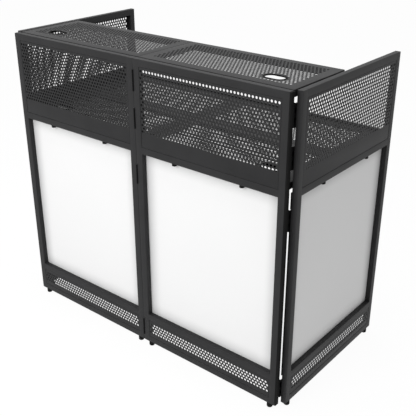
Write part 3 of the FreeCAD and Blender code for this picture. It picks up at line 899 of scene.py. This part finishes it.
def textured(name, colour, roughness, specular, grain, grain_scale, spread):
    """A painted or moulded finish: a fine pebbled bump, with slow patches of tone and of sheen."""
    material = bpy.data.materials.new(name)
    material.use_nodes = True
    nodes, links = material.node_tree.nodes, material.node_tree.links
    shader = nodes["Principled BSDF"]
    shader.inputs["Specular IOR Level"].default_value = specular
    place = nodes.new("ShaderNodeTexCoord")
    pebble = nodes.new("ShaderNodeTexNoise")
    pebble.inputs["Scale"].default_value = grain_scale
    pebble.inputs["Detail"].default_value = PEBBLE_DETAIL
    patch = nodes.new("ShaderNodeTexNoise")
    patch.inputs["Scale"].default_value = PATCH_SCALE
    patch.inputs["Detail"].default_value = PATCH_DETAIL
    for texture in (pebble, patch):
        links.new(place.outputs["Object"], texture.inputs["Vector"])
    tone = nodes.new("ShaderNodeValToRGB")
    for stop, position, share in zip(tone.color_ramp.elements, PATCH_STOPS, (1 - spread, 1 + spread)):
        stop.position = position
        stop.color = (*[c * share for c in colour], 1)
    links.new(patch.outputs["Fac"], tone.inputs["Fac"])
    links.new(tone.outputs["Color"], shader.inputs["Base Color"])
    sheen = nodes.new("ShaderNodeMapRange")
    sheen.inputs["To Min"].default_value = roughness - SHEEN_FALL
    sheen.inputs["To Max"].default_value = roughness + SHEEN_RISE
    links.new(pebble.outputs["Fac"], sheen.inputs["Value"])
    links.new(sheen.outputs["Result"], shader.inputs["Roughness"])
    bump = nodes.new("ShaderNodeBump")
    bump.inputs["Strength"].default_value = grain
    bump.inputs["Distance"].default_value = PEBBLE_DEPTH
    links.new(pebble.outputs["Fac"], bump.inputs["Height"])
    links.new(bump.outputs["Normal"], shader.inputs["Normal"])
    return material


def ribs(nodes, links, place):
    """The height of fine ribs in all three directions, multiplied together."""
    height = None
    for direction in ("X", "Y", "Z"):
        wave = nodes.new("ShaderNodeTexWave")
        wave.bands_direction = direction
        wave.inputs["Scale"].default_value = RIB_SCALE
        wave.inputs["Distortion"].default_value = RIB_DISTORTION
        links.new(place, wave.inputs["Vector"])
        if height is None:
            height = wave.outputs["Fac"]
            continue
        product = nodes.new("ShaderNodeMath")
        product.operation = "MULTIPLY"
        links.new(height, product.inputs[0])
        links.new(wave.outputs["Fac"], product.inputs[1])
        height = product.outputs["Value"]
    return height


def painted_edge_shade(nodes, links, colour, value, edge, reach, shaded_tone):
    """A colour with painted shade: darker as a value comes near an edge."""
    shade_ramp = nodes.new("ShaderNodeMapRange")
    shade_ramp.interpolation_type = "SMOOTHSTEP"
    shade_ramp.inputs["From Min"].default_value = edge
    shade_ramp.inputs["From Max"].default_value = edge + reach
    shade_ramp.inputs["To Min"].default_value = shaded_tone
    links.new(value, shade_ramp.inputs["Value"])
    shade = nodes.new("ShaderNodeMix")
    shade.data_type = "RGBA"
    shade.blend_type = "MULTIPLY"
    shade.inputs["Factor"].default_value = 1
    links.new(colour, shade.inputs["A"])
    links.new(shade_ramp.outputs["Result"], shade.inputs["B"])
    return shade.outputs["Result"]


def knit(name, axis, scrim):
    """White stretch knit with fine ribs, with painted shade toward the four edges of a scrim, where the frame
    shades the cloth.
    """
    material = bpy.data.materials.new(name)
    material.use_nodes = True
    nodes, links = material.node_tree.nodes, material.node_tree.links
    shader = nodes["Principled BSDF"]
    shader.inputs["Roughness"].default_value = KNIT_ROUGHNESS
    shader.inputs["Specular IOR Level"].default_value = KNIT_SPECULAR
    place = nodes.new("ShaderNodeTexCoord").outputs["Object"]
    height = ribs(nodes, links, place)
    tone = nodes.new("ShaderNodeValToRGB")
    for stop, knit_tone in zip(tone.color_ramp.elements, KNIT_TONES):
        stop.color = grey(knit_tone)
    links.new(height, tone.inputs["Fac"])
    split = nodes.new("ShaderNodeSeparateXYZ")
    links.new(place, split.inputs["Vector"])
    size = nodes.new("ShaderNodeMath")
    size.operation = "ABSOLUTE"
    links.new(split.outputs["X"], size.inputs[0])
    across = {"X": size.outputs["Value"], "Y": split.outputs["Y"]}[axis]
    upright = split.outputs["Z"]
    low, high = (getattr(corner, axis.lower()) for corner in scrim)
    colour = tone.outputs["Color"]
    # Painted shade toward the scrim's sides, bottom and top
    colour = painted_edge_shade(nodes, links, colour, across, low, SHADE_REACH, EDGE_SHADE_TONE)
    colour = painted_edge_shade(nodes, links, colour, across, high, -SHADE_REACH, EDGE_SHADE_TONE)
    colour = painted_edge_shade(nodes, links, colour, upright, scrim[0].z, SHADE_REACH, LOW_SHADE_TONE)
    colour = painted_edge_shade(nodes, links, colour, upright, scrim[1].z, -SHADE_REACH, EDGE_SHADE_TONE)
    links.new(colour, shader.inputs["Base Color"])
    bump = nodes.new("ShaderNodeBump")
    bump.inputs["Strength"].default_value = RIB_BUMP
    bump.inputs["Distance"].default_value = RIB_DEPTH
    links.new(height, bump.inputs["Height"])
    links.new(bump.outputs["Normal"], shader.inputs["Normal"])
    return material


MATERIALS = {slot: textured(*finish) for slot, finish in FINISHES.items()}
MATERIALS["scrim_fabric"] = knit("front_scrim_knit", "X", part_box("right_front_scrim"))
WING_KNIT = knit("wing_scrim_knit", "Y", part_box("right_wing_scrim"))
slot_of_node = {part["node"]: part["material_slot"] for part in frame["record"]["subparts"]}
for node, obj in frame["nodes"].items():
    obj.data.materials.clear()
    obj.data.materials.append(MATERIALS[slot_of_node[node]])
    weld = obj.modifiers.new("weld", "WELD")
    weld.merge_threshold = CAD_WELD
    bevel = obj.modifiers.new("bevel", "BEVEL")
    bevel.width = CAD_BEVEL
    bevel.segments = CAD_BEVEL_SEGMENTS
    bevel.limit_method = "ANGLE"
    bevel.angle_limit = CAD_BEVEL_ANGLE
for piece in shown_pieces():
    if "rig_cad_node" not in piece:
        piece.data.materials.clear()
        wing_cloth = piece["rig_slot"] == "scrim_fabric" and "wing" in piece.name
        piece.data.materials.append(WING_KNIT if wing_cloth else MATERIALS[piece["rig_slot"]])


# Floor, light and camera
def seen_directly(nodes, links):
    """One where a ray comes from the camera or from a glossy reflection, else zero."""
    path = nodes.new("ShaderNodeLightPath")
    either = nodes.new("ShaderNodeMath")
    either.operation = "MAXIMUM"
    links.new(path.outputs["Is Camera Ray"], either.inputs[0])
    links.new(path.outputs["Is Glossy Ray"], either.inputs[1])
    return either.outputs["Value"]


def by_ray(tree, output, lighting, seen):
    """Joins to a tree's output one shader for the light it gives and another for how it looks."""
    mix = tree.nodes.new("ShaderNodeMixShader")
    tree.links.new(seen_directly(tree.nodes, tree.links), mix.inputs["Fac"])
    tree.links.new(lighting, mix.inputs[1])
    tree.links.new(seen, mix.inputs[2])
    tree.links.new(mix.outputs["Shader"], tree.nodes.new(output).inputs["Surface"])


def floor_white():
    """A pale matt floor that looks white but for the object's soft shadow."""
    material = bpy.data.materials.new("floor_white")
    material.use_nodes = True
    tree = material.node_tree
    tree.nodes.clear()
    matt = tree.nodes.new("ShaderNodeBsdfDiffuse")
    matt.inputs["Color"].default_value = grey(FLOOR_TONE)
    faint = tree.nodes.new("ShaderNodeBsdfDiffuse")
    faint.inputs["Color"].default_value = grey(FLOOR_SEEN_TONE)
    glow = tree.nodes.new("ShaderNodeEmission")
    glow.inputs["Strength"].default_value = FLOOR_GLOW
    white = tree.nodes.new("ShaderNodeAddShader")
    tree.links.new(faint.outputs["BSDF"], white.inputs[0])
    tree.links.new(glow.outputs["Emission"], white.inputs[1])
    by_ray(tree, "ShaderNodeOutputMaterial", matt.outputs["BSDF"], white.outputs["Shader"])
    return material


def studio_world():
    """An even white surround, dimmer as a light than as a background."""
    world = bpy.data.worlds.new("studio")
    world.use_nodes = True
    tree = world.node_tree
    tree.nodes.clear()
    light_sky = tree.nodes.new("ShaderNodeBackground")
    light_sky.inputs["Color"].default_value = grey(1)
    light_sky.inputs["Strength"].default_value = SKY_LIGHT
    white_sky = tree.nodes.new("ShaderNodeBackground")
    white_sky.inputs["Color"].default_value = grey(1)
    by_ray(tree, "ShaderNodeOutputWorld", light_sky.outputs["Background"], white_sky.outputs["Background"])
    return world


def soft_box(name, place, aim, size, power):
    """A square area lamp that looks at a point."""
    lamp = bpy.data.lights.new(name, "AREA")
    lamp.size = size
    lamp.energy = power
    obj = bpy.data.objects.new(name, lamp)
    obj.location = place
    obj.rotation_euler = (Vector(aim) - Vector(place)).to_track_quat("-Z", "Y").to_euler()
    bpy.context.scene.collection.objects.link(obj)


floor_corners = [(x * FLOOR_REACH, y * FLOOR_REACH, 0) for x, y in ((-1, -1), (1, -1), (1, 1), (-1, 1))]
floor_mesh = bpy.data.meshes.new("floor")
floor_mesh.from_pydata(floor_corners, [], [[0, 1, 2, 3]])
floor_mesh.materials.append(floor_white())
floor = bpy.data.objects.new("floor", floor_mesh)
bpy.context.scene.collection.objects.link(floor)
bpy.context.scene.world = studio_world()
for lamp in LAMPS:
    soft_box(*lamp)

camera_data = bpy.data.cameras.new("camera")
camera_data.sensor_width = SENSOR_WIDTH
camera_data.lens = LENS
camera = bpy.data.objects.new("camera", camera_data)
camera.location = CAMERA_PLACE
level = math.cos(ELEVATION)
back = Vector((math.sin(AZIMUTH) * level, -math.cos(AZIMUTH) * level, math.sin(ELEVATION)))
camera.rotation_euler = back.to_track_quat("Z", "Y").to_euler()
bpy.context.scene.collection.objects.link(camera)
bpy.context.scene.camera = camera
bpy.context.scene.view_settings.view_transform = "Standard"
